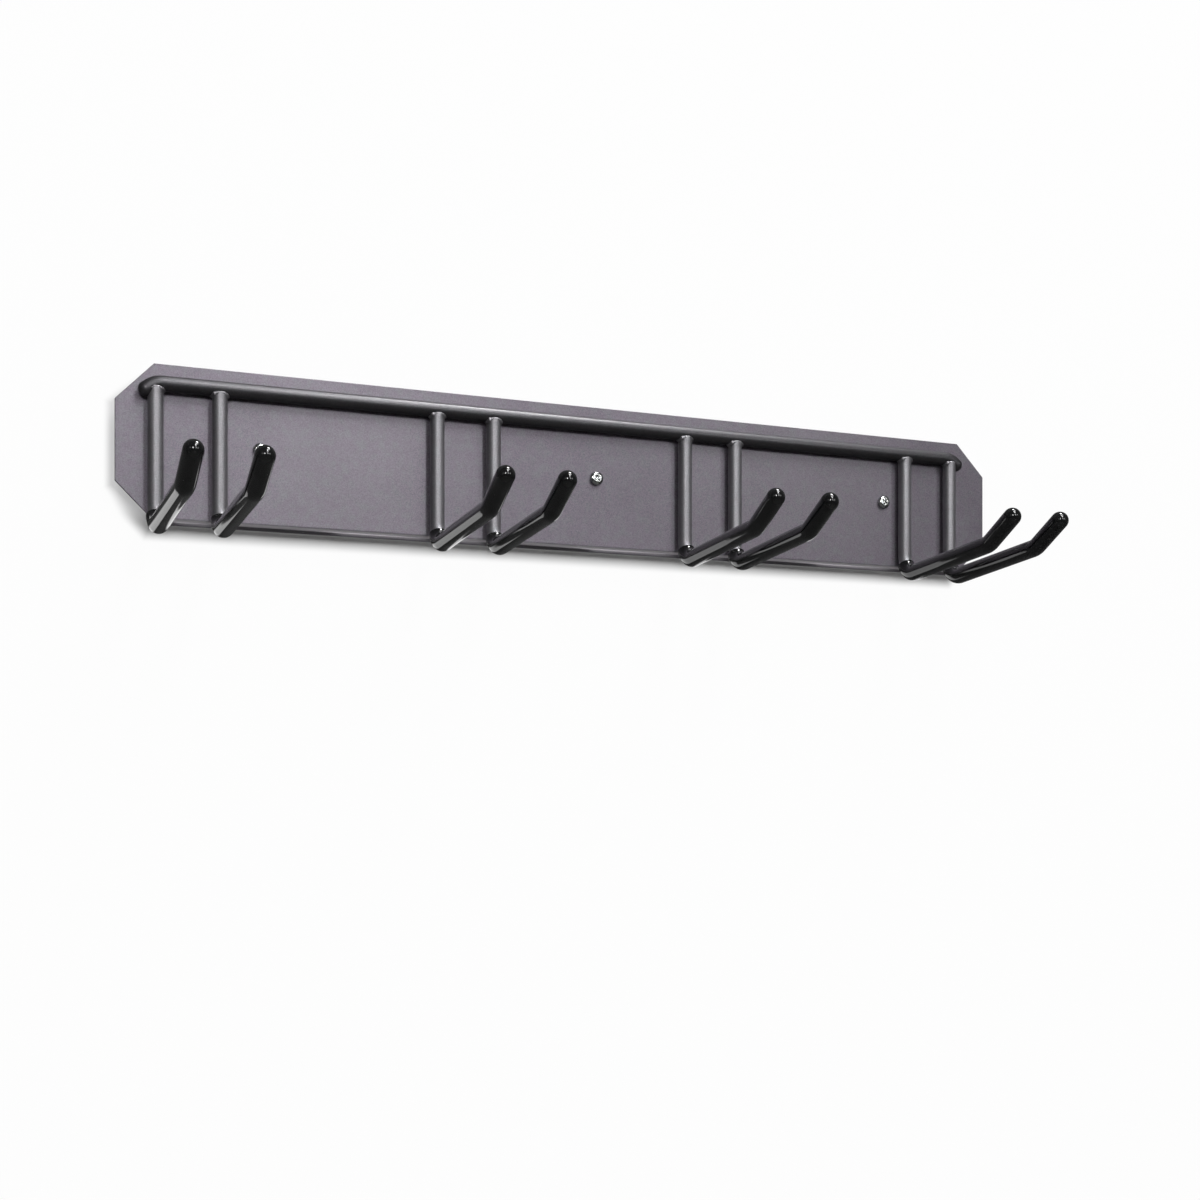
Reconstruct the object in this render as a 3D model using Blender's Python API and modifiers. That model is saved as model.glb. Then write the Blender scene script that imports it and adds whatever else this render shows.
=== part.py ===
"""Ski wall rack.

A folded steel rail is screwed flat to a wall. A round bar is welded across its face, and eight
round rods hang from the bar, two to a station. Each rod runs down the face, turns out in an elbow
just under the rail and ends in an arm with an upturned tip, which wears a closed vinyl sleeve.

Metres. X runs along the rail, Z is up, and the wall is the plane Y = 0 with the room on its -Y side.
The origin is the middle of the rail's back, on the wall.
"""
import math

import bmesh
import bpy
from mathutils import Matrix, Vector

NAME = "ski_wall_rack"

# Clearance between two pieces that touch
GAP = 0.0003

# Rail: a shallow channel of sheet steel with its corners cut off
RAIL_HEIGHT = 0.1015
RAIL_DEPTH = 0.016
SHEET = 0.002
FOLD_RADIUS = 0.0028
CORNER_CUT = 0.0245

# Stations: each has two arms, and a pair of skis hangs between them
STATIONS = 4
STATION_PITCH = 0.189
ARM_SPACING = 0.041
LEFT_MARGIN = 0.0245
RIGHT_MARGIN = 0.0355

# Round steel of the bar and of the arms
ROD_DIAMETER = 0.010
BAR_DROP = 0.0138
BAR_OVERHANG = 0.006
BAR_END_ANGLE = math.radians(35)
BAR_END_RADIUS = 0.014

# Arm: from the rail's face to the bend, then the upturned tip
ELBOW_DROP = 0.006
ELBOW_RADIUS = 0.014
ARM_REACH = 0.1126
ARM_RISE = math.radians(5.2)
BEND_RADIUS = 0.0155
TIP_ANGLE = math.radians(30)
TIP_LENGTH = 0.031

# Sleeve: it starts in the elbow, as soon as it clears the rail's face
SLEEVE_WALL = 0.001
SLEEVE_CLEARANCE = 0.001

# Wall screws: pan heads with a cross recess
SCREW_SIDE = 0.0165
SCREW_LENGTH = 0.050
SHANK_DIAMETER = 0.0045
HOLE_DIAMETER = 0.0055
HEAD_DIAMETER = 0.010
HEAD_HEIGHT = 0.0032
HEAD_RIM = 0.0012
CROWN_DIAMETER = 0.005
POINT_LENGTH = 0.006
RECESS_WIDTH = 0.0014
RECESS_SPAN = 0.0056
RECESS_DEPTH = 0.0018

# Fineness of the round forms
TUBE_RESOLUTION = 4
ELBOW_STEPS = 5
BEND_STEPS = 3
BAR_END_STEPS = 3
DOME_STEPS = 4
DOME_ANGLE = math.radians(80)
CROWN_STEPS = 4
FOLD_SEGMENTS = 3
TURNED_SIDES = 24
SHARP_ANGLE = math.radians(40)
MERGE_DISTANCE = 0.000001
EIGHTH_TURN = math.radians(45)
QUARTER_TURN = math.radians(90)

# Sizes that follow
ROD_RADIUS = ROD_DIAMETER / 2
STATION_SPAN = STATION_PITCH * (STATIONS - 1) + ARM_SPACING
RAIL_LENGTH = LEFT_MARGIN + STATION_SPAN + RIGHT_MARGIN
FIRST_ARM_X = LEFT_MARGIN - RAIL_LENGTH / 2
LAST_ARM_X = FIRST_ARM_X + STATION_SPAN
FACE_Y = -RAIL_DEPTH
ROD_Y = FACE_Y - GAP - ROD_RADIUS
BAR_Z = RAIL_HEIGHT / 2 - BAR_DROP
ELBOW_Z = -RAIL_HEIGHT / 2 - ELBOW_DROP
BORE_RADIUS = ROD_RADIUS + GAP
SLEEVE_RADIUS = BORE_RADIUS + SLEEVE_WALL
SCREW_X = LAST_ARM_X - ARM_SPACING - SCREW_SIDE


def clear_scene():
    for obj in list(bpy.data.objects):
        bpy.data.objects.remove(obj, do_unlink=True)


def new_collection(name):
    collection = bpy.data.collections.new(name)
    bpy.context.scene.collection.children.link(collection)
    return collection


def new_material(name, colour, roughness, metallic):
    material = bpy.data.materials.new(name)
    material.use_nodes = True
    shader = material.node_tree.nodes["Principled BSDF"]
    shader.inputs["Base Color"].default_value = (*colour, 1.0)
    shader.inputs["Roughness"].default_value = roughness
    shader.inputs["Metallic"].default_value = metallic
    material.diffuse_color = (*colour, 1.0)
    return material


def powder_coat(name):
    return new_material(name, (0.150, 0.142, 0.150), 0.38, 0.55)


def black_vinyl(name):
    return new_material(name, (0.012, 0.012, 0.013), 0.22, 0.0)


def zinc_plate(name):
    return new_material(name, (0.62, 0.62, 0.60), 0.25, 1.0)


def place(obj, collection, parent, material=None):
    collection.objects.link(obj)
    obj.parent = parent
    if material is not None:
        obj.data.materials.clear()
        obj.data.materials.append(material)


def make_cutter(obj, collection, parent):
    place(obj, collection, parent)
    obj.hide_render = True
    obj.display_type = "WIRE"


def cut(obj, cutter):
    modifier = obj.modifiers.new("cut_" + cutter.name, "BOOLEAN")
    modifier.operation = "DIFFERENCE"
    modifier.object = cutter


def shade_round(mesh):
    mesh.shade_smooth()
    mesh.set_sharp_from_angle(angle=SHARP_ANGLE)


def arc(start, corner, end, radius, steps, first_angle=0.0):
    """Points of the fillet at a corner, and first the point at first_angle round it."""
    into = (corner - start).normalized()
    away = (end - corner).normalized()
    turn = into.angle(away)
    side = (away - into * into.dot(away)).normalized()
    begin = corner - into * radius * math.tan(turn / 2)
    centre = begin + side * radius

    def point(angle):
        return centre + (into * math.sin(angle) - side * math.cos(angle)) * radius

    rest = [first_angle + (turn - first_angle) * i / steps for i in range(1, steps + 1)]
    head = [0.0, first_angle / 2, first_angle] if first_angle else [0.0]
    return [point(angle) for angle in head + rest]


def dome(centre, direction, radius):
    """Points and relative widths that round off a tube of this radius."""
    angles = [DOME_ANGLE * i / DOME_STEPS for i in range(1, DOME_STEPS + 1)]
    points = [centre + direction * radius * math.sin(angle) for angle in angles]
    return points, [math.cos(angle) for angle in angles]


def new_tube(name, points, radius, widths=None):
    """A round bar along the points, closed at both ends, as a mesh."""
    curve = bpy.data.curves.new(name, "CURVE")
    curve.dimensions = "3D"
    curve.bevel_depth = radius
    curve.bevel_resolution = TUBE_RESOLUTION
    curve.use_fill_caps = True
    spline = curve.splines.new("POLY")
    spline.points.add(len(points) - 1)
    for index, point in enumerate(points):
        spline.points[index].co = (*point, 1.0)
        spline.points[index].radius = widths[index] if widths else 1.0
    guide = bpy.data.objects.new(name + "_curve", curve)
    bpy.context.scene.collection.objects.link(guide)
    depsgraph = bpy.context.evaluated_depsgraph_get()
    mesh = bpy.data.meshes.new_from_object(guide.evaluated_get(depsgraph))
    bpy.data.objects.remove(guide)
    bpy.data.curves.remove(curve)
    weld(mesh)
    mesh.name = name
    shade_round(mesh)
    return bpy.data.objects.new(name, mesh)


def weld(mesh):
    """Joins the loose caps of a tube to its wall and turns every face outwards."""
    bm = bmesh.new()
    bm.from_mesh(mesh)
    bmesh.ops.remove_doubles(bm, verts=bm.verts, dist=MERGE_DISTANCE)
    bmesh.ops.recalc_face_normals(bm, faces=bm.faces)
    bm.to_mesh(mesh)
    bm.free()


def new_box(name, size, centre, turn=None):
    bm = bmesh.new()
    bmesh.ops.create_cube(bm, size=1.0)
    bmesh.ops.scale(bm, vec=size, verts=bm.verts)
    if turn is not None:
        bmesh.ops.rotate(bm, cent=(0, 0, 0), matrix=turn, verts=bm.verts)
    mesh = bpy.data.meshes.new(name)
    bm.to_mesh(mesh)
    bm.free()
    obj = bpy.data.objects.new(name, mesh)
    obj.location = centre
    return obj


def arm_x(station, side):
    return FIRST_ARM_X + STATION_PITCH * station + ARM_SPACING * side


def screw_places():
    return [-SCREW_X, 0.0, SCREW_X]


def sleeve_angle():
    """How far round the elbow the sleeve starts, where its back clears the rail's face."""
    limit = (ROD_RADIUS + ELBOW_RADIUS - SLEEVE_CLEARANCE) / (SLEEVE_RADIUS + ELBOW_RADIUS)
    return math.acos(limit)


def arm_points():
    """Centre line of one arm in its own YZ plane, and the index where its sleeve starts."""
    top = Vector((0, ROD_Y, BAR_Z))
    elbow = Vector((0, ROD_Y, ELBOW_Z))
    run = FACE_Y - ARM_REACH - ROD_Y
    bend = elbow + Vector((0, run, -run * math.tan(ARM_RISE)))
    tip = bend + Vector((0, -math.cos(TIP_ANGLE), math.sin(TIP_ANGLE))) * TIP_LENGTH
    elbow_arc = arc(top, elbow, bend, ELBOW_RADIUS, ELBOW_STEPS, sleeve_angle())
    bend_arc = arc(elbow, bend, tip, BEND_RADIUS, BEND_STEPS)
    return [top] + elbow_arc + bend_arc + [tip], 3


def bar_points():
    """Centre line of the bar, with both ends swept down. Each end turns over an outermost arm."""
    turn_length = BAR_END_RADIUS * math.tan(BAR_END_ANGLE / 2)
    run = max(BAR_OVERHANG, turn_length * math.cos(BAR_END_ANGLE))
    drop = run * math.tan(BAR_END_ANGLE)
    left_corner = Vector((FIRST_ARM_X, ROD_Y, BAR_Z))
    left_end = left_corner + Vector((-run, 0, -drop))
    right_corner = Vector((LAST_ARM_X, ROD_Y, BAR_Z))
    right_end = right_corner + Vector((run, 0, -drop))
    left = arc(left_end, left_corner, right_corner, BAR_END_RADIUS, BAR_END_STEPS)
    right = arc(left_corner, right_corner, right_end, BAR_END_RADIUS, BAR_END_STEPS)
    return [left_end] + left + right + [right_end]


def domed_tube(name, points, radius, both_ends=False):
    """A tube whose last end, or both ends, are rounded off."""
    widths = [1.0] * len(points)
    cap, cap_widths = dome(points[-1], (points[-1] - points[-2]).normalized(), radius)
    line = points + cap
    widths = widths + cap_widths
    if both_ends:
        cap, cap_widths = dome(points[0], (points[0] - points[1]).normalized(), radius)
        line = cap[::-1] + line
        widths = cap_widths[::-1] + widths
    return new_tube(name, line, radius, widths)


def build_rail(parts, cutters, frame):
    """Front face with a flange folded back along its top and its bottom edge."""
    bm = bmesh.new()
    bmesh.ops.create_cube(bm, size=1.0)
    bmesh.ops.scale(bm, vec=(RAIL_LENGTH, RAIL_DEPTH, RAIL_HEIGHT), verts=bm.verts)
    open_faces = [face for face in bm.faces if abs(face.normal.x) > 0.5 or face.normal.y > 0.5]
    bmesh.ops.delete(bm, geom=open_faces, context="FACES")
    folds = [edge for edge in bm.edges if len(edge.link_faces) == 2]
    bmesh.ops.bevel(bm, geom=folds, offset=FOLD_RADIUS, segments=FOLD_SEGMENTS, profile=0.5, affect="EDGES")
    mesh = bpy.data.meshes.new("back_rail")
    bm.to_mesh(mesh)
    bm.free()
    rail = bpy.data.objects.new("back_rail", mesh)
    rail.location = (0, -RAIL_DEPTH / 2, 0)
    place(rail, parts, frame, powder_coat("rail_powder_coat"))
    shell = rail.modifiers.new("sheet", "SOLIDIFY")
    shell.thickness = SHEET
    shell.offset = -1.0
    shell.use_even_offset = True
    for cutter in corner_cutters() + hole_cutters():
        make_cutter(cutter, cutters, frame)
        cut(rail, cutter)


def corner_cutters():
    """Boxes set at 45 degrees that take off the four corners."""
    cutters = []
    side = CORNER_CUT * 2
    for x_sign, x_name in ((-1, "left"), (1, "right")):
        for z_sign, z_name in ((-1, "bottom"), (1, "top")):
            corner = Vector((x_sign * RAIL_LENGTH / 2, -RAIL_DEPTH / 2, z_sign * RAIL_HEIGHT / 2))
            outward = Vector((x_sign, 0, z_sign)).normalized()
            depth_to_cut = CORNER_CUT * math.cos(EIGHTH_TURN)
            centre = corner + outward * (side / 2 - depth_to_cut)
            turn = Matrix.Rotation(EIGHTH_TURN, 3, "Y")
            name = "corner_cut_" + z_name + "_" + x_name
            cutters.append(new_box(name, (side, RAIL_DEPTH * 2, side), centre, turn))
    return cutters


def hole_cutters():
    cutters = []
    for index, x in enumerate(screw_places()):
        bm = bmesh.new()
        bmesh.ops.create_cone(bm, cap_ends=True, segments=TURNED_SIDES, radius1=HOLE_DIAMETER / 2,
                              radius2=HOLE_DIAMETER / 2, depth=SHEET * 3)
        bmesh.ops.rotate(bm, cent=(0, 0, 0), matrix=Matrix.Rotation(QUARTER_TURN, 3, "X"), verts=bm.verts)
        mesh = bpy.data.meshes.new("screw_hole_%d" % (index + 1))
        bm.to_mesh(mesh)
        bm.free()
        hole = bpy.data.objects.new(mesh.name, mesh)
        hole.location = (x, FACE_Y + SHEET / 2, 0)
        cutters.append(hole)
    return cutters


def build_bar(parts, frame):
    bar = domed_tube("top_bar", bar_points(), ROD_RADIUS, both_ends=True)
    place(bar, parts, frame, powder_coat("bar_powder_coat"))


def build_arm(station, side, bar_cutter, parts, cutters, frame):
    """One rod with its sleeve. The rod's top is cut to the round of the bar that it is welded to."""
    label = "%d_%s" % (station + 1, ("left", "right")[side])
    points, start = arm_points()
    x = arm_x(station, side)

    rod = new_tube("arm_rod_" + label, points, ROD_RADIUS)
    rod.location = (x, 0, 0)
    place(rod, parts, frame, powder_coat("rod_powder_coat_" + label))
    cut(rod, bar_cutter)

    sleeve = domed_tube("sleeve_" + label, points[start:], SLEEVE_RADIUS)
    sleeve.location = (x, 0, 0)
    place(sleeve, parts, frame, black_vinyl("vinyl_" + label))
    bore_line = points[start:]
    back = (bore_line[0] - bore_line[1]).normalized()
    end = (bore_line[-1] - bore_line[-2]).normalized()
    bore_line = [bore_line[0] + back * SLEEVE_WALL] + bore_line[1:-1] + [bore_line[-1] + end * GAP]
    bore = new_tube("bore_" + label, bore_line, BORE_RADIUS)
    bore.location = (x, 0, 0)
    make_cutter(bore, cutters, frame)
    cut(sleeve, bore)


def head_profile():
    """Outline of a screw from the crown of its pan head down to its point: radius and height."""
    radius = HEAD_DIAMETER / 2
    flat = CROWN_DIAMETER / 2
    crown = HEAD_HEIGHT - HEAD_RIM
    line = [(0.0, HEAD_HEIGHT)]
    for index in range(CROWN_STEPS + 1):
        angle = QUARTER_TURN * index / CROWN_STEPS
        line.append((flat + (radius - flat) * math.sin(angle), HEAD_RIM + crown * math.cos(angle)))
    line.append((radius, 0.0))
    line.append((SHANK_DIAMETER / 2, 0.0))
    line.append((SHANK_DIAMETER / 2, POINT_LENGTH - SCREW_LENGTH))
    line.append((0.0, -SCREW_LENGTH))
    return line


def build_screw(index, x, parts, cutters, frame):
    name = "wall_screw_%d" % (index + 1)
    mesh = bpy.data.meshes.new(name)
    profile = head_profile()
    vertices = [(radius, 0, height) for radius, height in profile]
    edges = [(i, i + 1) for i in range(len(profile) - 1)]
    mesh.from_pydata(vertices, edges, [])
    screw = bpy.data.objects.new(name, mesh)
    screw.location = (x, FACE_Y - GAP, 0)
    screw.rotation_euler = (QUARTER_TURN, 0, 0)
    place(screw, parts, frame, zinc_plate("zinc_" + name))
    turned = screw.modifiers.new("turned", "SCREW")
    turned.axis = "Z"
    turned.steps = TURNED_SIDES
    turned.render_steps = TURNED_SIDES
    turned.use_merge_vertices = True
    turned.merge_threshold = MERGE_DISTANCE
    turned.use_smooth_shade = True
    for turn, label in ((0.0, "a"), (QUARTER_TURN, "b")):
        slot = new_box("recess_%s_%d" % (label, index + 1), (RECESS_SPAN, RECESS_WIDTH, RECESS_DEPTH * 2),
                       (x, FACE_Y - GAP - HEAD_HEIGHT, 0))
        slot.rotation_euler = (QUARTER_TURN, turn, 0)
        make_cutter(slot, cutters, frame)
        cut(screw, slot)


def build():
    clear_scene()
    parts = new_collection(NAME)
    cutters = new_collection("cutters")
    frame = bpy.data.objects.new("rack_frame", None)
    parts.objects.link(frame)

    build_rail(parts, cutters, frame)
    build_bar(parts, frame)
    bar_cutter = domed_tube("bar_clearance", bar_points(), BORE_RADIUS, both_ends=True)
    make_cutter(bar_cutter, cutters, frame)
    for station in range(STATIONS):
        for side in (0, 1):
            build_arm(station, side, bar_cutter, parts, cutters, frame)
    for index, x in enumerate(screw_places()):
        build_screw(index, x, parts, cutters, frame)


build()
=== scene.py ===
"""Looks of the ski wall rack: powder coated rail, bar and rods, glossy vinyl sleeves, zinc screws.

Metres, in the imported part's frame. X runs along the rail, Z is up, the wall is the plane Y = 0 and
the room is on its -Y side.
"""
import math

import bmesh
import bpy
from mathutils import Matrix, Vector


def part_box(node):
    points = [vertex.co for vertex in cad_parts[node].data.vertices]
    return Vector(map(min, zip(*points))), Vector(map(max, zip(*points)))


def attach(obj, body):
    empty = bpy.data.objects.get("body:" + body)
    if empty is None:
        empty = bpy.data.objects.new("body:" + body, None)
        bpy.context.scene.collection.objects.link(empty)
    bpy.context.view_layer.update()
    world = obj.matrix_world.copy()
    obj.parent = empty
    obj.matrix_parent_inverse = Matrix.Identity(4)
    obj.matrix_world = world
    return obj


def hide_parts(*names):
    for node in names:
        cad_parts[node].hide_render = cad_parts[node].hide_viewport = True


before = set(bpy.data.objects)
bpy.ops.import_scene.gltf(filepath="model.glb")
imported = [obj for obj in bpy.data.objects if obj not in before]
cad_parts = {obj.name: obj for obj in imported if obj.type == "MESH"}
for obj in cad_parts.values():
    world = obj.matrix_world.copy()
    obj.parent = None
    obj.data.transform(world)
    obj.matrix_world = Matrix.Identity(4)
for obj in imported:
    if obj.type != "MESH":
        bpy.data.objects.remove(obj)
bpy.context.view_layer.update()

BODY = "root"
STATIONS = 4
SIDES = ("left", "right")
SCREWS = 3

# Rail
SHEET = 0.002
FOLD_RADIUS = 0.0028
FOLD_STEPS = 8
CORNER_CUT = 0.0245
HOLE_RADIUS = 0.00275
HOLE_SIDES = 48
SHEET_EDGE_ROUND = 0.00035

# Arm and bar, along their centre lines
ELBOW_RADIUS = 0.014
BEND_RADIUS = 0.0155
ELBOW_DROP = 0.006
ARM_REACH = 0.1126
ARM_RISE = math.radians(5.2)
TIP_ANGLE = math.radians(30)
TIP_LENGTH = 0.031
ROD_GAP = 0.0003
BAR_DROP = 0.0138
BAR_END_ANGLE = math.radians(35)
BAR_END_RADIUS = 0.014
BAR_OVERHANG = 0.006
BAR_END_STEPS = 8
BAR_STEPS = 24
BAR_BEVEL_STEPS = 18
SLEEVE_WALL = 0.001
SLEEVE_RIM_ROUND = 0.00035
SLEEVE_CLEARANCE = 0.001
TUBE_SIDES = 40
TUBE_RINGS = 150
FILLET_STEPS = 24
DOME_RINGS = 9

# Welds, measured from where the centre lines of the bar and a rod cross
SHOULDER_DROP = 0.0023
SHOULDER_RADIUS = 0.0013
SHOULDER_HEIGHT = 0.0060
SHOULDER_BULGE = 0.00018
SHOULDER_SINK = 0.0006
SHOULDER_UNDER_SKIN = 0.00005
SHOULDER_FADE = (0.35, 1.0)
SHOULDER_SIDES = 56
SHOULDER_RINGS = 44
SHOULDER_CROWDING = 1.6
SEAM_INSET = 0.00055
SEAM_FRONT = 0.00072
SEAM_SIDE = 0.0020
SEAM_STEPS = 180
SEAM_SIDES = 24
LUMP_TURN = math.radians(48)
LUMP_WIDTH = math.radians(12)
LUMP_SIZE = 0.45
RIPPLE_SPACING = 0.0012
RIPPLE_DEPTH = 0.04

# Screws
HEAD_HEIGHT = 0.0032
HEAD_RIM = 0.0012
HEAD_EDGE_HEIGHT = 0.00025
HEAD_EDGE_INSET = 0.0002
HEAD_STEPS = 10
CROWN_RADIUS = 0.0025
CROWN_FALL = 0.00002
NECK_ROUND = 0.0006
SHANK_RADIUS = 0.0019
PLAIN_SHANK = 0.014
POINT_LENGTH = 0.006
BARE_POINT = 0.0024
THREAD_RADIUS = 0.00225
THREAD_PITCH = 0.0018
THREAD_STEPS = 32
THREAD_IN = (0.0, 0.04)
THREAD_OUT = (0.90, 1.0)
THREAD_THINNEST = 0.02
RIDGE_SIZE = 1.35
RIDGE_FLATNESS = 0.55
RECESS_SPAN = 0.0064
RECESS_WIDTH = 0.0016
RECESS_DEPTH = 0.0021
RECESS_TAPER = (0.45, 0.55)
RECESS_EDGE_ROUND = 0.00012
FIRST_RECESS_TURN = math.radians(17)
RECESS_TURN_STEP = math.radians(23)
TURNED_STEPS = 64

# Points closer than this are merged
MERGE = 0.000002
TUBE_MERGE = 0.00001

# One powder coat, as bright as it looks on each part: lightened on the rods as painted light and
# darkened on the bar as painted shade. The zinc's rings are in radians per metre.
SHEET_COAT = {"deep": (0.122, 0.108, 0.129), "light": (0.213, 0.190, 0.225), "metallic": 0.85,
              "roughness": 0.49, "coat": 0.10, "coat_roughness": 0.16}
# The rods' copy of the coat is lightened: painted light
ROD_COAT_LIGHTENED = {"deep": (0.216, 0.209, 0.222), "light": (0.294, 0.284, 0.303), "metallic": 0.95,
            "roughness": 0.53, "coat": 0.12, "coat_roughness": 0.20}
# The bar's copy of the coat is darkened: painted shade
BAR_COAT_DARKENED = {"deep": (0.064, 0.061, 0.066), "light": (0.090, 0.086, 0.093), "metallic": 0.95,
            "roughness": 0.47, "coat": 0.20, "coat_roughness": 0.20}
COOL_CAST = (0.95, 1.01, 1.04)
# Painted highlight: the light tone laid over the round of the rail's lower fold
FOLD_PAINTED_HIGHLIGHT = (0.66, 0.63, 0.67)
ZINC_RINGS = 21000.0

# Fades of the lower fold's painted highlight, in fold radii: in and out with the depth behind the rail's
# face, and out with the height above its lower edge
FOLD_TURNED = (-0.02, 0.16)
FOLD_UNDER = (0.45, 0.75)
FOLD_FLAT = (0.70, 0.95)

# The photograph's camera. Its horizon is a row of pixels down from the top.
CAMERA_PLACE = (-0.4870, -1.1441, -0.2342)
CAMERA_TURN = math.radians(-23.49)
PHOTO_SIDE = 1200
FOCAL_PIXELS = 1718.1
HORIZON_PIXEL = 806.1
SENSOR = 36.0
NEAREST_SEEN = 0.01

# The room round the object. A glow is the share of plain white in a surface: in the wall and the
# floor as the camera sees them, and in what the rail covers as the rail's inside sees it.
FLOOR_Z = -1.75
ROOM_HALF_WIDTH = 6.0
ROOM_HEIGHT = 4.0
WALL_PAINT = (0.50, 0.50, 0.50)
FLOOR_PAINT = (0.72, 0.72, 0.71)
BLACK = (0.0, 0.0, 0.0)
WHITE = (1.0, 1.0, 1.0, 1.0)
WALL_GLOW = 0.97
FLOOR_GLOW = 0.5
BEHIND_GLOW = 0.8
OUTLINE_SOFT = 0.0005
ROOM_GREY = (0.06, 0.06, 0.06)
BACK_GREY = (0.45, 0.45, 0.45)
SEEN_GREY = (0.86, 0.86, 0.86)
ROOM_TO_BACK = (-0.1, 0.3)

# The rail's shadow on the wall: how far from the rail's outline it starts and ends, under the rail
# and beside it. Across a lap at the lower edge it weakens to what it is beside the rail.
SHADOW_NEAR = 0.0015
SHADOW_FAR = 0.012
SHADOW_LAP_BELOW = 0.004
SHADOW_LAP_ABOVE = 0.012
SIDE_SHADOW = 0.65
SIDE_SHADOW_NEAR = -0.002
SIDE_SHADOW_FAR = 0.0058

# The wall in the sleeves' gloss: dimmed, but for a white patch left of each arm's foot. The patches
# lie between two heights. A left arm's patch starts this reach left of the arm, a right arm's this
# gap right of the left one. Each ends at its own arm, on a slanted line.
MIRRORED_DIM = 0.75
MIRRORED_GLOW = 1.5
MIRRORED_LOW = -0.115
MIRRORED_HIGH = -0.056
MIRRORED_REACH = 0.065
MIRRORED_GAP = 0.017
MIRRORED_SLANT = 0.52
MIRRORED_SOFT = 0.002

# Square lamps: name, degrees to the right of straight out, degrees up, distance, brightness
LAMP_SIDE = 0.45
LAMPS = (
    ("left_side", -45, 12, 2.8, 2.0),
    ("left_front", -20, 12, 2.8, 31.0),
    ("front", 11, 12, 2.8, 9.7),
    ("right_front", 32, 12, 2.8, 7.4),
    ("raised", 8, 24, 2.8, 8.0),
    ("upper", 10, 40, 2.8, 36.0),
    ("high", 15, 55, 2.2, 22.0),
    ("high_right", 38, 55, 2.2, 11.0),
    ("overhead_right", 70, 72, 2.2, 55.0),
)


class Wire:
    """A node's output that can be used in sums: each operator adds its Math node."""

    def __init__(self, board, node, socket):
        self.board = board
        self.node = node
        self.socket = socket

    def output(self, name):
        return Wire(self.board, self.node, self.node.outputs[name])

    def math(self, operation, *others, clamp=False):
        return self.board.math(operation, self, *others, clamp=clamp)

    def __add__(self, other):
        return self.math("ADD", other)

    __radd__ = __add__

    def __sub__(self, other):
        return self.math("SUBTRACT", other)

    def __rsub__(self, other):
        return self.board.math("SUBTRACT", other, self)

    def __mul__(self, other):
        return self.math("MULTIPLY", other)

    __rmul__ = __mul__

    def __truediv__(self, other):
        return self.math("DIVIDE", other)

    def __pow__(self, other):
        return self.math("POWER", other)

    def clamped(self):
        return self.math("ADD", 0.0, clamp=True)

    def sine(self):
        return self.math("SINE")

    def cosine(self):
        return self.math("COSINE")

    def size(self):
        return self.math("ABSOLUTE")

    def least(self, other):
        return self.math("MINIMUM", other)

    def most(self, other):
        return self.math("MAXIMUM", other)

    def between(self, low, high):
        """0 below low, 1 above high, smooth in between."""
        links = {"Value": self, "From Min": low, "From Max": high}
        return self.board.add("ShaderNodeMapRange", {"interpolation_type": "SMOOTHSTEP"}, links)


class Board:
    """The node tree of a material or of geometry nodes while it is being wired."""

    def __init__(self, tree):
        self.tree = tree
        self.tree.nodes.clear()

    def add(self, kind, settings=None, links=None, output=0):
        """Adds a node: its settings first, then a value or a wire for each named or numbered input."""
        node = self.tree.nodes.new(kind)
        for name, value in (settings or {}).items():
            setattr(node, name, value)
        for key, value in (links or {}).items():
            if isinstance(value, Wire):
                self.tree.links.new(value.socket, node.inputs[key])
            else:
                node.inputs[key].default_value = value
        socket = node.outputs[output] if node.outputs else None
        return Wire(self, node, socket)

    def math(self, operation, *values, clamp=False):
        settings = {"operation": operation, "use_clamp": clamp}
        return self.add("ShaderNodeMath", settings, dict(enumerate(values)))

    def vector(self, operation, *values):
        return self.add("ShaderNodeVectorMath", {"operation": operation}, dict(enumerate(values)))

    def blend(self, factor, first, second):
        """A colour that goes from first to second as factor goes from 0 to 1."""
        links = {0: factor, 6: colour(first), 7: colour(second)}
        return self.add("ShaderNodeMix", {"data_type": "RGBA"}, links, output=2)

    def noise(self, place, scale, detail, roughness, seed):
        links = {"Vector": place, "W": seed, "Scale": scale, "Detail": detail, "Roughness": roughness}
        return self.add("ShaderNodeTexNoise", {"noise_dimensions": "4D"}, links)

    def cells(self, place, scale):
        return self.add("ShaderNodeTexVoronoi", None, {"Vector": place, "Scale": scale})


def colour(value):
    """A colour with its alpha. Anything else stays as it is."""
    return (*value, 1.0) if isinstance(value, tuple) and len(value) == 3 else value


def new_material(name):
    """An empty material and its board."""
    material = bpy.data.materials.new(name)
    material.use_nodes = True
    return material, Board(material.node_tree)


def new_finish(name):
    """A material's board, its Principled shader and its object coordinates."""
    material, board = new_material(name)
    shader = board.add("ShaderNodeBsdfPrincipled")
    board.add("ShaderNodeOutputMaterial", None, {"Surface": shader})
    place = board.add("ShaderNodeTexCoord").output("Object")
    return material, board, shader, place


def feed(board, shader, **values):
    """Sets the shader's sockets, named with _ for a space, to plain values or to wires."""
    for key, value in values.items():
        socket = shader.node.inputs[key.replace("_", " ")]
        if isinstance(value, Wire):
            board.tree.links.new(value.socket, socket)
        else:
            socket.default_value = colour(value)


def cooled(tone):
    """A tone of the same level with a cool cast in place of its own."""
    level = sum(tone) / 3
    return tuple(level * part for part in COOL_CAST)


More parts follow.
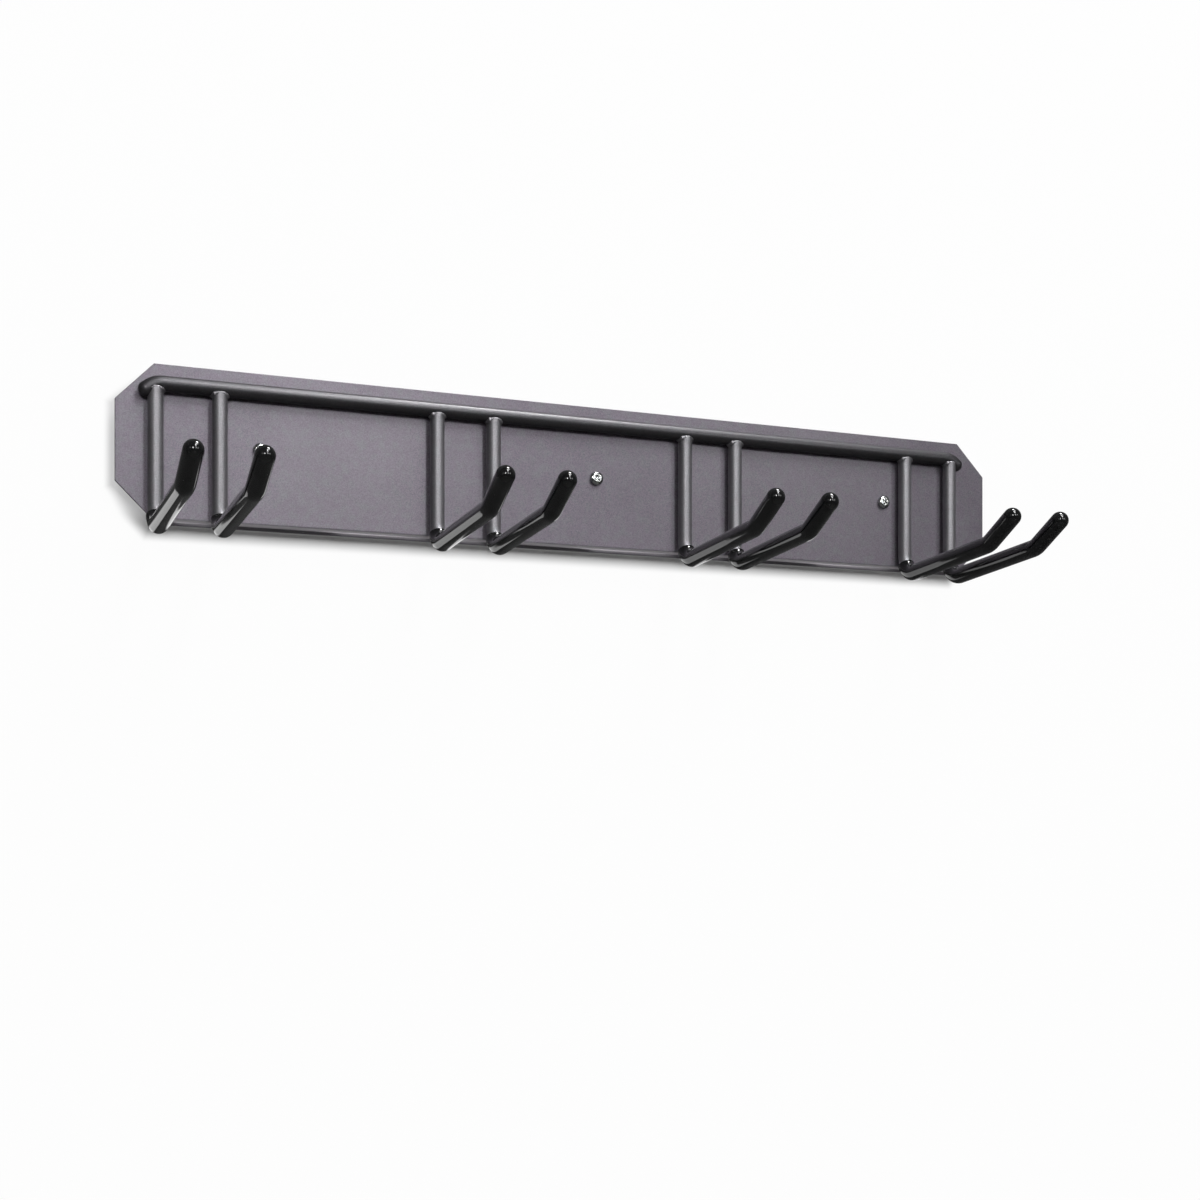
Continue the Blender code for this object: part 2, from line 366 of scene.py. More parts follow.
def powder_coat(name, seed, look, folded=False):
    """Satin powder coat: fine metallic flakes, a patchy violet cast, slight mottling and soft peel.
    On folded sheet a painted highlight lightens the round of the lower fold."""
    material, board, shader, place = new_finish(name)
    mottle = board.noise(place, 20.0, 3.0, 0.55, seed)
    peel = board.noise(place, 420.0, 2.0, 0.5, seed)
    grain = board.noise(place, 1250.0, 2.0, 0.6, seed + 5.0)
    speckle = board.cells(place, 1700.0).output("Color")
    flake = board.add("ShaderNodeSeparateColor", None, {"Color": speckle})
    handled = board.noise(place, 48.0, 4.0, 0.6, seed + 3.0).between(0.48, 0.72)
    cast = board.noise(place, 170.0, 3.0, 0.6, seed + 7.0)

    tone = (mottle - 0.5) * 0.6 + (cast - 0.5) * 0.25 + (flake - 0.5) * 0.6 + (grain - 0.5) * 1.5 + 0.5
    tone = tone.clamped()
    base = board.blend(tone, look["deep"], look["light"])
    cool = board.blend(tone, cooled(look["deep"]), cooled(look["light"]))
    base = board.blend(cast.between(0.40, 0.68) * 0.45, base, cool)
    # Painted highlight over the round of the lower fold
    if folded:
        base = board.blend(lower_fold_highlight(board, place), base, FOLD_PAINTED_HIGHLIGHT)
    roughness = look["roughness"] + (mottle - 0.5) * 0.08 + (flake - 0.5) * 0.06 + handled * 0.03
    height = peel + grain * 0.25 + flake * 0.05
    bump = board.add("ShaderNodeBump", None, {"Strength": 0.12, "Distance": 0.00012, "Height": height})
    feed(board, shader, Base_Color=base, Metallic=look["metallic"], Roughness=roughness, Normal=bump,
         Specular_IOR_Level=0.25, Coat_Weight=look["coat"], Coat_Roughness=look["coat_roughness"])
    return material


def lower_fold_highlight(board, place):
    """Mask of the painted highlight: 1 over the middle of the rail's lower fold, 0 on the flat sheet."""
    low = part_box("back_rail")[0]
    axes = board.add("ShaderNodeSeparateXYZ", None, {"Vector": place})
    depth = (axes.output("Y") - low.y) / FOLD_RADIUS
    height = (axes.output("Z") - low.z) / FOLD_RADIUS
    turned = depth.between(*FOLD_TURNED)
    under = depth.between(*FOLD_UNDER)
    flat = height.between(*FOLD_FLAT)
    return turned * (1.0 - under) * (1.0 - flat)


def black_vinyl(name, seed):
    """Glossy dipped vinyl: slow waves from the dip, a faint haze of handling and a few dust specks."""
    material, board, shader, place = new_finish(name)
    waves = board.noise(place, 75.0, 2.0, 0.45, seed)
    fine = board.noise(place, 520.0, 2.0, 0.5, seed + 1.0)
    haze = board.noise(place, 42.0, 4.0, 0.6, seed + 2.0).between(0.46, 0.74)
    dust = board.cells(place, 260.0).math("LESS_THAN", 0.045)

    base = board.blend(haze, (0.0060, 0.0062, 0.0065), (0.0105, 0.0107, 0.0110))
    base = board.blend(dust * 0.25, base, (0.16, 0.16, 0.155))
    roughness = 0.07 + haze * 0.06 + fine * 0.03 + dust * 0.2
    height = waves + fine * 0.04 + dust * 0.05
    bump = board.add("ShaderNodeBump", None, {"Strength": 0.15, "Distance": 0.0007, "Height": height})
    feed(board, shader, Base_Color=base, Metallic=0.0, Roughness=roughness, Normal=bump, IOR=1.50,
         Specular_IOR_Level=0.5)
    return material


def zinc_plate(name, centre, seed):
    """Bright zinc: faint turning rings about the screw's axis, a cloudy passivation and small pits."""
    material, board, shader, place = new_finish(name)
    mapped = board.add("ShaderNodeMapping", None, {"Vector": place, "Location": tuple(-centre)})
    axes = board.add("ShaderNodeSeparateXYZ", None, {"Vector": mapped})
    across, up = axes.output("X"), axes.output("Z")
    reach = (across * across + up * up).math("SQRT")
    rings = (reach * ZINC_RINGS).sine()
    cloud = board.noise(mapped, 420.0, 3.0, 0.6, seed)
    pits = board.cells(mapped, 2400.0).between(0.05, 0.30)

    base = board.blend(cloud.between(0.35, 0.70), (0.42, 0.44, 0.45), (0.60, 0.61, 0.58))
    base = board.blend((1.0 - pits) * 0.5, base, (0.34, 0.34, 0.35))
    roughness = 0.15 + cloud * 0.10 + (1.0 - pits) * 0.12
    height = rings * 0.12 + cloud * 0.5 + pits * 0.4
    bump = board.add("ShaderNodeBump", None, {"Strength": 0.25, "Distance": 0.00006, "Height": height})
    feed(board, shader, Base_Color=base, Metallic=1.0, Roughness=roughness, Normal=bump)
    return material


class Form:
    """A geometry node tree with named inputs, which it can make any number of meshes from."""

    def __init__(self, name):
        self.tree = bpy.data.node_groups.new(name, "GeometryNodeTree")
        self.board = Board(self.tree)
        self.tree.interface.new_socket("Geometry", in_out="INPUT", socket_type="NodeSocketGeometry")
        self.tree.interface.new_socket("Geometry", in_out="OUTPUT", socket_type="NodeSocketGeometry")
        self.entry = self.board.add("NodeGroupInput")

    def input(self, name, kind="Float"):
        self.tree.interface.new_socket(name, in_out="INPUT", socket_type="NodeSocket" + kind)
        return self.entry.output(name)

    def close(self, geometry):
        """Ends the tree: every face is smooth and gets the material."""
        smooth = self.board.add("GeometryNodeSetShadeSmooth", None, {"Geometry": geometry})
        links = {"Geometry": smooth, "Material": self.input("Material", "Material")}
        dressed = self.board.add("GeometryNodeSetMaterial", None, links)
        self.board.add("NodeGroupOutput", None, {"Geometry": dressed})

    def make(self, name, **values):
        """A plain mesh object of the tree with these inputs, which are named with _ for a space."""
        carrier = placed(name + "_carrier", bpy.data.meshes.new(name))
        modifier = carrier.modifiers.new("form", "NODES")
        modifier.node_group = self.tree
        for item in self.tree.interface.items_tree:
            key = item.name.replace(" ", "_")
            if item.in_out == "INPUT" and key in values:
                modifier[item.identifier] = values[key]
        return frozen(name, carrier)


def placed(name, data):
    """A new object of this data, linked to the scene."""
    thing = bpy.data.objects.new(name, data)
    bpy.context.scene.collection.objects.link(thing)
    return thing


def placed_shape(name, bm):
    """A new mesh object of what a bmesh holds. The bmesh is freed."""
    mesh = bpy.data.meshes.new(name)
    bm.to_mesh(mesh)
    bm.free()
    return placed(name, mesh)


def frozen(name, carrier):
    """The evaluated object as a plain mesh object at the origin. The object that carried it goes."""
    graph = bpy.context.evaluated_depsgraph_get()
    graph.update()
    mesh = bpy.data.meshes.new_from_object(carrier.evaluated_get(graph))
    mesh.transform(carrier.matrix_world)
    mesh.name = name
    source = carrier.data
    bpy.data.objects.remove(carrier)
    if source.users == 0 and isinstance(source, bpy.types.Mesh):
        bpy.data.meshes.remove(source)
    return placed(name, mesh)


def thicken(piece, thickness):
    """A skin gets its thickness on its inner side."""
    wall = piece.modifiers.new("wall", "SOLIDIFY")
    wall.thickness = thickness
    wall.offset = -1.0
    wall.use_even_offset = True


def round_edges(piece, width, segments, degrees):
    """Rounds every edge that turns by more than this many degrees."""
    edges = piece.modifiers.new("edges", "BEVEL")
    edges.width = width
    edges.segments = segments
    edges.limit_method = "ANGLE"
    edges.angle_limit = math.radians(degrees)


def dress(piece, material):
    """The material is the piece's only one."""
    piece.data.materials.clear()
    piece.data.materials.append(material)


def finished(piece, slot, *nodes):
    """Fits a piece to the rack: it rides on the body and stands for CAD nodes, which are hidden. The slot
    is not used.
    """
    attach(piece, BODY)
    if nodes:
        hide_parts(*nodes)


def tube_form():
    """A round tube on a centre line with filleted corners. The end can be rounded off as a dome."""
    form = Form("tube_on_a_bent_line")
    board = form.board
    corners = [form.input("Corner %d" % index, "Vector") for index in range(1, 5)]
    first_fillet = form.input("First Fillet")
    second_fillet = form.input("Second Fillet")
    radius = form.input("Radius")
    start = form.input("Start")
    rings = form.input("Rings", "Int")
    dome_rings = form.input("Dome Rings", "Int")
    dome = form.input("Dome")
    sides = form.input("Sides", "Int")
    capped = form.input("Capped", "Bool")
    index = board.add("GeometryNodeInputIndex")

    chosen = board.add("GeometryNodeIndexSwitch", {"data_type": "VECTOR"})
    chosen.node.index_switch_items.new()
    chosen.node.index_switch_items.new()
    board.tree.links.new(index.socket, chosen.node.inputs["Index"])
    for number, corner in enumerate(corners):
        board.tree.links.new(corner.socket, chosen.node.inputs[number + 1])
    line = board.add("GeometryNodeMeshLine", None, {"Count": 4})
    bent = board.add("GeometryNodeSetPosition", None, {"Geometry": line, "Position": chosen})
    curve = board.add("GeometryNodeMeshToCurve", None, {"Mesh": bent})
    is_second = index.math("GREATER_THAN", 1.5)
    fillet = first_fillet + (second_fillet - first_fillet) * is_second
    links = {"Curve": curve, "Count": FILLET_STEPS, "Radius": fillet}
    curve = board.add("GeometryNodeFilletCurve", {"mode": "POLY"}, links)

    length = board.add("GeometryNodeCurveLength", None, {"Curve": curve})
    dome_length = radius * dome
    along = (index / rings).least(1.0)
    angle = (index - rings).most(0.0) / dome_rings.most(1.0) * (math.pi / 2)
    spot = start + (length - dome_length - start) * along + dome_length * angle.sine()
    width = angle.cosine().most(0.0)

    places = board.add("GeometryNodeCurvePrimitiveLine")
    count = rings + dome_rings + 1.0
    places = board.add("GeometryNodeResampleCurve", {"mode": "COUNT"}, {"Curve": places, "Count": count})
    sampled = board.add("GeometryNodeSampleCurve", {"mode": "LENGTH"}, {"Curves": curve, "Length": spot})
    position = sampled.output("Position")
    places = board.add("GeometryNodeSetPosition", None, {"Geometry": places, "Position": position})
    ring = board.add("GeometryNodeCurvePrimitiveCircle", None, {"Resolution": sides, "Radius": radius})
    links = {"Curve": places, "Profile Curve": ring, "Scale": width, "Fill Caps": capped}
    tube = board.add("GeometryNodeCurveToMesh", None, links)
    tube = board.add("GeometryNodeMergeByDistance", None, {"Geometry": tube, "Distance": TUBE_MERGE})
    form.close(tube)
    return form


def shoulder_form():
    """The weld round a rod's top: a rounded, slightly uneven shoulder that thins out down the rod."""
    form = Form("weld_shoulder")
    board = form.board
    centre = form.input("Centre", "Vector")
    rod_radius = form.input("Rod Radius")
    round_radius = form.input("Shoulder Radius")
    height = form.input("Height")
    bulge = form.input("Bulge")
    seed = form.input("Seed")
    links = {"Vertices": SHOULDER_SIDES, "Side Segments": SHOULDER_RINGS, "Radius": 1.0, "Depth": 1.0}
    tube = board.add("GeometryNodeMeshCylinder", {"fill_type": "NGON"}, links)
    place = board.add("GeometryNodeInputPosition")
    axes = board.add("ShaderNodeSeparateXYZ", None, {"Vector": place})
    across, depth, level = axes.output("X"), axes.output("Y"), axes.output("Z")
    down = height * (0.5 - level).most(0.0) ** SHOULDER_CROWDING
    uneven = board.noise(place, 2.2, 2.0, 0.5, seed) - 0.5
    turned_in = (1.0 - down / round_radius).most(0.0)
    rounding = round_radius * (1.0 - (1.0 - turned_in * turned_in).most(0.0) ** 0.5)
    fade = 1.0 - (down / height).between(*SHOULDER_FADE)
    swell = fade * bulge * (1.0 + uneven * 2.0) - SHOULDER_UNDER_SKIN
    reach = rod_radius + swell - rounding
    sink = uneven * SHOULDER_SINK * fade
    links = {"X": across * reach, "Y": depth * reach, "Z": sink - down}
    shaped = board.add("ShaderNodeCombineXYZ", None, links)
    spot = board.vector("ADD", shaped, centre)
    form.close(board.add("GeometryNodeSetPosition", None, {"Geometry": tube, "Position": spot}))
    return form


def seam_form():
    """The bead along the seam where a rod's skin meets the bar's: thin over the front of the rod,
    thick in the corners on both sides, faintly rippled, with a lump where it was begun."""
    form = Form("weld_seam")
    board = form.board
    centre = form.input("Centre", "Vector")
    radius = form.input("Seam Radius")
    drop = form.input("Front Drop")
    front = form.input("Front Bead Radius")
    side = form.input("Side Bead Radius")
    spacing = form.input("Ripple Spacing")
    ripple_depth = form.input("Ripple Depth")
    seed = form.input("Seed")
    turn = board.add("GeometryNodeInputIndex") * (2.0 * math.pi / SEAM_STEPS)
    across, forward = turn.sine(), turn.cosine()
    level = ((across * radius) ** 2.0 + (forward * drop) ** 2.0) ** 0.5
    links = {"X": across * radius, "Y": forward * radius * -1.0, "Z": level * -1.0}
    local = board.add("ShaderNodeCombineXYZ", None, links)
    spot = board.vector("ADD", local, centre)
    ring = board.add("GeometryNodeCurvePrimitiveCircle", None, {"Resolution": SEAM_STEPS, "Radius": 0.001})
    line = board.add("GeometryNodeSetPosition", None, {"Geometry": ring, "Position": spot})

    uneven = board.noise(local, 420.0, 2.0, 0.5, seed) - 0.5
    ripple = (turn * radius * (2.0 * math.pi) / spacing + uneven * 5.0).sine()
    offset = (turn - (2.0 * math.pi - LUMP_TURN)) / LUMP_WIDTH
    lump = (-1.0 * offset * offset).math("EXPONENT")
    wavy = 1.0 + uneven * 0.5 + ripple * ripple_depth + lump * LUMP_SIZE
    width = (front + (side - front) * across * across) * wavy
    profile = board.add("GeometryNodeCurvePrimitiveCircle", None, {"Resolution": SEAM_SIDES, "Radius": 1.0})
    links = {"Curve": line, "Profile Curve": profile, "Scale": width}
    form.close(board.add("GeometryNodeCurveToMesh", None, links))
    return form


def thread_form():
    """The helical ridge of a screw, standing along +Z from the origin and running out at both ends."""
    form = Form("screw_thread")
    board = form.board
    core = form.input("Core Radius")
    crest = form.input("Crest Radius")
    pitch = form.input("Pitch")
    length = form.input("Length")
    turns = length / pitch
    links = {"Resolution": THREAD_STEPS, "Rotations": turns, "Start Radius": core, "End Radius": core,
             "Height": length, "Reverse": True}
    helix = board.add("GeometryNodeCurveSpiral", None, links)
    factor = board.add("GeometryNodeSplineParameter").output("Factor")
    width = factor.between(*THREAD_IN) * (1.0 - factor.between(*THREAD_OUT))
    links = {"Resolution": 4, "Radius": (crest - core) * RIDGE_SIZE}
    ridge = board.add("GeometryNodeCurvePrimitiveCircle", None, links)
    links = {"Geometry": ridge, "Scale": (1.0, RIDGE_FLATNESS, 1.0)}
    ridge = board.add("GeometryNodeTransform", None, links)
    width = width.most(THREAD_THINNEST)
    links = {"Curve": helix, "Profile Curve": ridge, "Scale": width, "Fill Caps": True}
    form.close(board.add("GeometryNodeCurveToMesh", None, links))
    return form


def arm_labels():
    """The arms from left to right: 1_left, 1_right, 2_left and so on."""
    return ["%d_%s" % (station + 1, side) for station in range(STATIONS) for side in SIDES]


def rod_radius():
    low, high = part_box("arm_rod_2_left")
    return (high.x - low.x) / 2


def sleeve_radius():
    low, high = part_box("sleeve_2_left")
    return (high.x - low.x) / 2


def middle_x(node):
    low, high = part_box(node)
    return (low.x + high.x) / 2


def rail_face_y():
    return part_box("back_rail")[0].y


def rod_y():
    return rail_face_y() - ROD_GAP - rod_radius()


def bar_z():
    """Height of the bar's centre line."""
    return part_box("back_rail")[1].z - BAR_DROP


def arm_corners(x, tip_extra=0.0):
    """The four corners of an arm's centre line, from its top to its tip, which can reach further."""
    face = rail_face_y()
    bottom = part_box("back_rail")[0].z
    top = Vector((x, rod_y(), bar_z()))
    elbow = Vector((x, rod_y(), bottom - ELBOW_DROP))
    run = face - ARM_REACH - rod_y()
    bend = elbow + Vector((0, run, -run * math.tan(ARM_RISE)))
    upturn = Vector((0, -math.cos(TIP_ANGLE), math.sin(TIP_ANGLE)))
    return [top, elbow, bend, bend + upturn * (TIP_LENGTH + tip_extra)]


def sleeve_start():
    """Length along the arm's centre line at which the sleeve clears the rail's face."""
    top, elbow, bend, _ = arm_corners(0.0)
    turn = (elbow - top).angle(bend - elbow)
    before = (elbow - top).length - ELBOW_RADIUS * math.tan(turn / 2)
    limit = (rod_radius() + ELBOW_RADIUS - SLEEVE_CLEARANCE) / (sleeve_radius() + ELBOW_RADIUS)
    return before + ELBOW_RADIUS * math.acos(limit)


def corner_inputs(corners):
    """The corners as named inputs of the tube's tree."""
    return {"Corner_%d" % (index + 1): corner for index, corner in enumerate(corners)}


def make_rod(form, label, number):
    """The bare rod, from under its weld to its tip inside the sleeve."""
    node = "arm_rod_" + label
    # The rod takes the lightened copy of the coat: painted light
    finish = powder_coat("powder_coat_rod_" + label, 10.0 + number, ROD_COAT_LIGHTENED)
    piece = form.make(node + "_coated", First_Fillet=ELBOW_RADIUS, Second_Fillet=BEND_RADIUS,
                      Radius=rod_radius(), Start=SHOULDER_DROP + SHOULDER_RADIUS, Rings=TUBE_RINGS,
                      Dome_Rings=0, Dome=0.0, Sides=TUBE_SIDES, Capped=True, Material=finish,
                      **corner_inputs(arm_corners(middle_x(node))))
    finished(piece, "grey_powder_coat", node)


def make_sleeve(form, label, number):
    """The outer skin comes from the tree, is thickened inwards and gets a rounded mouth."""
    node = "sleeve_" + label
    corners = arm_corners(middle_x(node), sleeve_radius())
    finish = black_vinyl("vinyl_" + label, 30.0 + number)
    skin = form.make(node + "_skin", First_Fillet=ELBOW_RADIUS, Second_Fillet=BEND_RADIUS,
                     Radius=sleeve_radius(), Start=sleeve_start(), Rings=TUBE_RINGS, Dome_Rings=DOME_RINGS,
                     Dome=1.0, Sides=TUBE_SIDES, Capped=False, Material=finish, **corner_inputs(corners))
    thicken(skin, SLEEVE_WALL)
    round_edges(skin, SLEEVE_RIM_ROUND, segments=3, degrees=50)
    finished(frozen(node + "_vinyl", skin), "black_vinyl", node)


def arc_points(start, corner, end, radius, steps):
    """Points of the round that replaces a corner."""
    into = (corner - start).normalized()
    away = (end - corner).normalized()
    turn = into.angle(away)
    side = (away - into * into.dot(away)).normalized()
    begin = corner - into * radius * math.tan(turn / 2)
    centre = begin + side * radius
    angles = [turn * step / steps for step in range(steps + 1)]
    return [centre + (into * math.sin(angle) - side * math.cos(angle)) * radius for angle in angles]


def poly_curve(name, points, widths):
    """A curve through these points, with a width factor at each."""
    curve = bpy.data.curves.new(name, "CURVE")
    curve.dimensions = "3D"
    spline = curve.splines.new("POLY")
    spline.points.add(len(points) - 1)
    for spot, point, width in zip(spline.points, points, widths):
        spot.co = (*point, 1.0)
        spot.radius = width
    return curve


def make_bar():
    """The bar with both ends swept down and rounded, as a bevelled curve."""
    left_x, right_x = middle_x("arm_rod_1_left"), middle_x("arm_rod_%d_right" % STATIONS)
    run = max(BAR_OVERHANG, BAR_END_RADIUS * math.tan(BAR_END_ANGLE / 2) * math.cos(BAR_END_ANGLE))
    drop = run * math.tan(BAR_END_ANGLE)
    left, right = Vector((left_x, rod_y(), bar_z())), Vector((right_x, rod_y(), bar_z()))
    left_end, right_end = left + Vector((-run, 0, -drop)), right + Vector((run, 0, -drop))
    line = [left_end] + arc_points(left_end, left, right, BAR_END_RADIUS, BAR_END_STEPS)
    line += [left.lerp(right, step / BAR_STEPS) for step in range(1, BAR_STEPS)]
    line += arc_points(left, right, right_end, BAR_END_RADIUS, BAR_END_STEPS) + [right_end]
    out_left = (left_end - line[1]).normalized()
    out_right = (right_end - line[-2]).normalized()
    radius = rod_radius()
    angles = [math.radians(90) * step / DOME_RINGS for step in range(1, DOME_RINGS)]
    left_dome = [left_end + out_left * radius * math.sin(angle) for angle in reversed(angles)]
    right_dome = [right_end + out_right * radius * math.sin(angle) for angle in angles]
    dome_widths = [math.cos(angle) for angle in angles]
    widths = dome_widths[::-1] + [1.0] * len(line) + dome_widths
    curve = poly_curve("bar_line", left_dome + line + right_dome, widths)
    curve.bevel_depth = radius
    curve.bevel_resolution = BAR_BEVEL_STEPS
    curve.use_fill_caps = True
    piece = frozen("top_bar_coated", placed("bar_carrier", curve))
    merge_and_smooth(piece.data, degrees=40)
    # The bar takes the darkened copy of the coat: painted shade
    dress(piece, powder_coat("powder_coat_bar", 5.0, BAR_COAT_DARKENED))
    finished(piece, "grey_powder_coat", "top_bar")


def merge_and_smooth(mesh, degrees):
    """Closes the mesh and shades it smooth, but for edges that turn by more than this."""
    bm = bmesh.new()
    bm.from_mesh(mesh)
    bmesh.ops.remove_doubles(bm, verts=bm.verts, dist=MERGE)
    bmesh.ops.holes_fill(bm, edges=[edge for edge in bm.edges if edge.is_boundary], sides=6)
    bmesh.ops.recalc_face_normals(bm, faces=bm.faces)
    bm.to_mesh(mesh)
    bm.free()
    mesh.shade_smooth()
    mesh.set_sharp_from_angle(angle=math.radians(degrees))


def corner_cutter(side, depth, centre):
    """A block turned by 45 degrees, one flank of which cuts off a corner."""
    bm = bmesh.new()
    bmesh.ops.create_cube(bm, size=1.0)
    bmesh.ops.scale(bm, vec=(side, depth, side), verts=bm.verts)
    bmesh.ops.rotate(bm, cent=(0, 0, 0), matrix=Matrix.Rotation(math.radians(45), 3, "Y"), verts=bm.verts)
    bmesh.ops.translate(bm, vec=centre, verts=bm.verts)
    return placed_shape("corner", bm)


def hole_cutter(x, y):
    bm = bmesh.new()
    bmesh.ops.create_cone(bm, cap_ends=True, segments=HOLE_SIDES, radius1=HOLE_RADIUS, radius2=HOLE_RADIUS,
                          depth=SHEET * 3)
    bmesh.ops.rotate(bm, cent=(0, 0, 0), matrix=Matrix.Rotation(math.radians(90), 3, "X"), verts=bm.verts)
    bmesh.ops.translate(bm, vec=(x, y, 0), verts=bm.verts)
    return placed_shape("hole", bm)


def carve(piece, cutter):
    """The cutter's shape is taken out of the piece. The cutter has to stay until the piece is frozen."""
    modifier = piece.modifiers.new(cutter.name, "BOOLEAN")
    modifier.operation = "DIFFERENCE"
    modifier.solver = "EXACT"
    modifier.object = cutter


def rail_section():
    """Outline of the rail's outer skin in its YZ plane, from the top flange's back edge down.
    The top fold is crisp, the lower one is round."""
    low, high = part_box("back_rail")
    corners = [Vector((0, high.y, high.z)), Vector((0, low.y, high.z)), Vector((0, low.y, low.z)),
               Vector((0, high.y, low.z))]
    line = [corners[0], corners[1]]
    line += arc_points(corners[1], corners[2], corners[3], FOLD_RADIUS, FOLD_STEPS)
    return line + [corners[3]]


def rail_cutters():
    """What is cut out of the rail: its four corners and the screw holes."""
    low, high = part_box("back_rail")
    side = CORNER_CUT * 2
    depth = high.y - low.y
    cutters = []
    for x, x_sign in ((low.x, -1), (high.x, 1)):
        for z, z_sign in ((low.z, -1), (high.z, 1)):
            outward = Vector((x_sign, 0, z_sign)).normalized()
            centre = Vector((x, low.y + depth / 2, z)) + outward * (side / 2 - CORNER_CUT / math.sqrt(2))
            cutters.append(corner_cutter(side, depth * 2, centre))
    for index in range(SCREWS):
        cutters.append(hole_cutter(middle_x("wall_screw_%d" % (index + 1)), low.y + SHEET / 2))
    return cutters


def make_rail():
    """The folded sheet: its outline drawn along X, thickened, cut and broken at its edges."""
    low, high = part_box("back_rail")
    section = rail_section()
    vertices = [(x, point.y, point.z) for x in (low.x, high.x) for point in section]
    count = len(section)
    faces = [(i, i + 1, count + i + 1, count + i) for i in range(count - 1)]
    mesh = bpy.data.meshes.new("rail_skin")
    mesh.from_pydata(vertices, [], faces)
    rail = placed("rail_carrier", mesh)
    thicken(rail, SHEET)
    cutters = rail_cutters()
    for cutter in cutters:
        carve(rail, cutter)
    round_edges(rail, SHEET_EDGE_ROUND, segments=3, degrees=35)
    normals = rail.modifiers.new("flat_faces", "WEIGHTED_NORMAL")
    normals.keep_sharp = False
    mesh.shade_smooth()
    piece = frozen("back_rail_coated", rail)
    for cutter in cutters:
        bpy.data.objects.remove(cutter)
    # The rail's coat carries the painted highlight on its lower fold
    dress(piece, powder_coat("powder_coat_rail", 1.0, SHEET_COAT, folded=True))
    finished(piece, "grey_powder_coat", "back_rail")


def make_welds(shoulder, seam, label, number):
    """The rounded top of a rod, and the weld bead that runs round it along the bar's skin."""
    crossing = Vector((middle_x("arm_rod_" + label), rod_y(), bar_z()))
    # The welds take the rods' lightened copy of the coat: painted light
    finish = powder_coat("powder_coat_weld_" + label, 50.0 + number, ROD_COAT_LIGHTENED)
    cap = shoulder.make("weld_cap_" + label, Centre=crossing - Vector((0, 0, SHOULDER_DROP)),
                        Rod_Radius=rod_radius(), Shoulder_Radius=SHOULDER_RADIUS, Height=SHOULDER_HEIGHT,
                        Bulge=SHOULDER_BULGE, Seed=float(number), Material=finish)
    bead = seam.make("weld_seam_" + label, Centre=crossing, Seam_Radius=rod_radius() - SEAM_INSET,
                     Front_Drop=SHOULDER_DROP + SEAM_FRONT, Front_Bead_Radius=SEAM_FRONT,
                     Side_Bead_Radius=SEAM_SIDE, Ripple_Spacing=RIPPLE_SPACING, Ripple_Depth=RIPPLE_DEPTH,
                     Seed=float(number), Material=finish)
    for piece in (cap, bead):
        merge_and_smooth(piece.data, degrees=70)
        finished(piece, "grey_powder_coat")


def screw_outline():
    """Radius and height of a screw from its pan head's crown to its point, and its length below it."""
    low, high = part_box("wall_screw_1")
    radius = (high.x - low.x) / 2
    length = high.y - low.y - HEAD_HEIGHT
    crown = HEAD_HEIGHT - HEAD_RIM
    line = [(0.0, HEAD_HEIGHT), (CROWN_RADIUS / 2, HEAD_HEIGHT - CROWN_FALL)]
    for step in range(HEAD_STEPS + 1):
        angle = math.radians(90) * step / HEAD_STEPS
        reach = CROWN_RADIUS + (radius - CROWN_RADIUS) * math.sin(angle)
        line.append((reach, HEAD_RIM + crown * math.cos(angle)))
    line += [(radius, HEAD_EDGE_HEIGHT), (radius - HEAD_EDGE_INSET, 0.0)]
    line += [(SHANK_RADIUS + NECK_ROUND, 0.0), (SHANK_RADIUS, -NECK_ROUND)]
    line += [(SHANK_RADIUS, POINT_LENGTH - length), (0.0, -length)]
    return line, length


def cross_cutter(place):
    """Two crossed blades that narrow towards the bottom of the recess."""
    blades = []
    for turn in (0.0, math.radians(90)):
        bm = bmesh.new()
        bmesh.ops.create_cube(bm, size=1.0)
        bmesh.ops.scale(bm, vec=(RECESS_SPAN, RECESS_WIDTH, RECESS_DEPTH * 2), verts=bm.verts)
        for vertex in bm.verts:
            if vertex.co.z < 0:
                vertex.co.x *= RECESS_TAPER[0]
                vertex.co.y *= RECESS_TAPER[1]
        bmesh.ops.transform(bm, matrix=place @ Matrix.Rotation(turn, 4, "Z"), verts=bm.verts)
        blades.append(placed_shape("blade", bm))
    return blades


def turned_carrier(outline, stand):
    """The outline turned about its Z axis at a place, with the empty that marks the axis."""
    mesh = bpy.data.meshes.new("outline")
    mesh.from_pydata([(r, 0, h) for r, h in outline], [(i, i + 1) for i in range(len(outline) - 1)], [])
    mesh.transform(stand)
    carrier = placed("screw_carrier", mesh)
    axis = placed("screw_axis", None)
    axis.matrix_world = stand
    turned = carrier.modifiers.new("turned", "SCREW")
    turned.object = axis
    turned.axis = "Z"
    turned.steps = TURNED_STEPS
    turned.render_steps = TURNED_STEPS
    turned.use_merge_vertices = True
    turned.merge_threshold = MERGE
    turned.use_smooth_shade = True
    return carrier, axis


